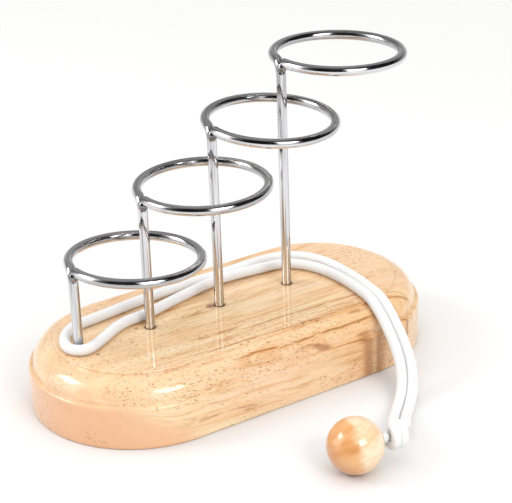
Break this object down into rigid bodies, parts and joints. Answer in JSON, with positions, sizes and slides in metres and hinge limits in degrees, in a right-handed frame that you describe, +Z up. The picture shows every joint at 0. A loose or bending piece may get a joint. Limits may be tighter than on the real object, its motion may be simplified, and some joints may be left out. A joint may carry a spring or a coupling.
{
  "type": "rope and rings puzzle",
  "caption": "Desktop disentanglement puzzle: a rounded wooden base carries a rising row of chrome wire loops, linked by a white cord with a wooden ball on its end.",
  "frame": {"origin": "middle of the base's underside, on the surface that the puzzle stands on", "axes": "+X along the base towards the tallest loop, +Y away from the side where the ball lies, +Z up"},
  "size_m": [0.141, 0.1238, 0.1021],
  "materials": {
    "base_wood": "clear gloss lacquer",
    "chrome_wire": "polished plating",
    "cord_braid": "smooth braided nylon",
    "ball_wood": "clear gloss lacquer"
  },
  "bodies": {
    "stand": {"base": "base_wood", "wire_loop_1": "chrome_wire", "wire_loop_2": "chrome_wire", "wire_loop_3": "chrome_wire", "wire_loop_4": "chrome_wire", "cord_on_base": "cord_braid"},
    "cord_free_end": {"cord_end": "cord_braid", "cord_knot": "cord_braid"},
    "ball": {"ball": "ball_wood"}
  },
  "joints": [
    {"name": "cord_swing", "type": "hinge", "parent": "stand", "child": "cord_free_end", "pos_m": [0.03475, 0, 0.0225], "axis": [0, 0, 1], "range_deg": [-12, 75], "deforming": ["cord_end", "cord_on_base"]},
    {"name": "ball_turn", "type": "hinge", "parent": "cord_free_end", "child": "ball", "pos_m": [-0.0076, -0.0793, 0.00875], "axis": [0.9848, -0.1736, 0], "range_deg": [-180, 180]}
  ]
}
